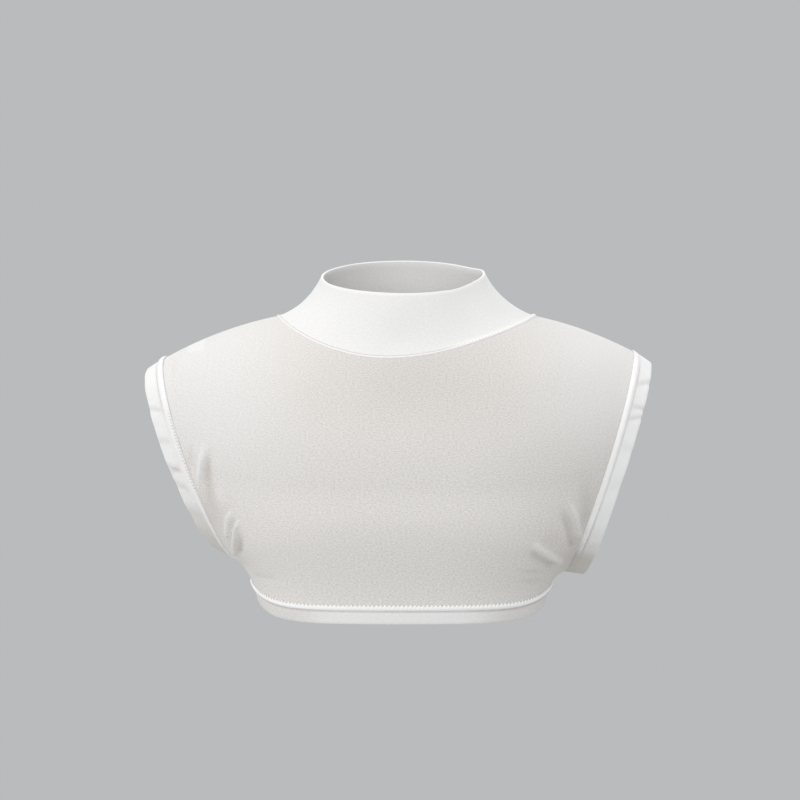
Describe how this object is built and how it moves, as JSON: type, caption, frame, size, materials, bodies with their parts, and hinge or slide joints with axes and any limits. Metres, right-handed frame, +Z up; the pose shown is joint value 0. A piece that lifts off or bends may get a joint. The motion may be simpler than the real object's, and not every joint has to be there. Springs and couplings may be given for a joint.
{
  "type": "turtleneck dickey",
  "caption": "Cropped sleeveless half top in thin white jersey, with a stand collar, open folded arm bands and an open hem, held in its worn form.",
  "frame": {"origin": "middle of the neck, level with the neck ends of the shoulder seams, where the worn piece hangs from the neck and shoulders", "axes": "+Z up the neck, +X to the viewer's right along the shoulders, and the chest faces -Y"},
  "size_m": [0.4512, 0.2094, 0.3209],
  "materials": {
    "body_jersey": "matte single-layer jersey, warm off-white, fine knit grain",
    "folded_jersey": "matte folded jersey, clean white, overlocked seam and stitched edge"
  },
  "bodies": {
    "root": {"front_panel": "body_jersey", "back_panel": "body_jersey", "collar": "folded_jersey", "armhole_band_left": "folded_jersey", "armhole_band_right": "folded_jersey", "hem_band": "folded_jersey"}
  },
  "joints": []
}
